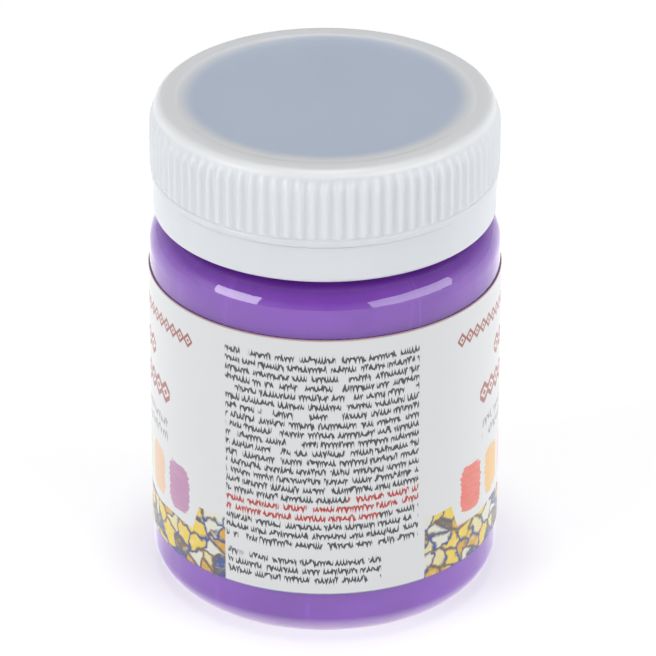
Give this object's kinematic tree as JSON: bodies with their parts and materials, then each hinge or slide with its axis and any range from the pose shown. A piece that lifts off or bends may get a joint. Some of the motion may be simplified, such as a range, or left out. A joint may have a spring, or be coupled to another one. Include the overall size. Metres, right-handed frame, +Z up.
{
  "type": "paint jar",
  "caption": "Small clear round jar of violet acrylic paint with a full wrap label, a rounded shoulder and a ribbed white screw cap over a separate seal band.",
  "frame": {"origin": "on the jar's axis, in the plane that it stands on", "axes": "+Z up along the jar's axis, -Y towards the front of the label"},
  "size_m": [0.041, 0.041, 0.0605],
  "materials": {
    "clear_jar": "clear moulded plastic, high gloss",
    "violet_paint": "wet opaque acrylic paint",
    "label_paper": "satin printed paper",
    "white_cap": "semi-translucent moulded plastic",
    "liner_foam": "thin foam sheet"
  },
  "bodies": {
    "jar_body": {"jar": "clear_jar", "paint": "violet_paint", "label": "label_paper"},
    "lid_liner": {"cap_liner": "liner_foam"},
    "lid": {"screw_cap": "white_cap"},
    "band": {"tamper_band": "white_cap"}
  },
  "joints": [
    {"name": "cap_lift", "type": "slide", "parent": "jar_body", "child": "lid_liner", "axis": [0, 0, 1], "range_m": [0, 0.0068]},
    {"name": "cap_turn", "type": "hinge", "parent": "lid_liner", "child": "lid", "pos_m": [0, 0, 0], "axis": [0, 0, 1], "range_deg": [0, 810]},
    {"name": "band_spin", "type": "hinge", "parent": "jar_body", "child": "band", "pos_m": [0, 0, 0], "axis": [0, 0, 1], "continuous": true}
  ],
  "couplings": [
    {"joint": "cap_lift", "follows": "cap_turn", "m_per_rad": 0.00047746}
  ]
}
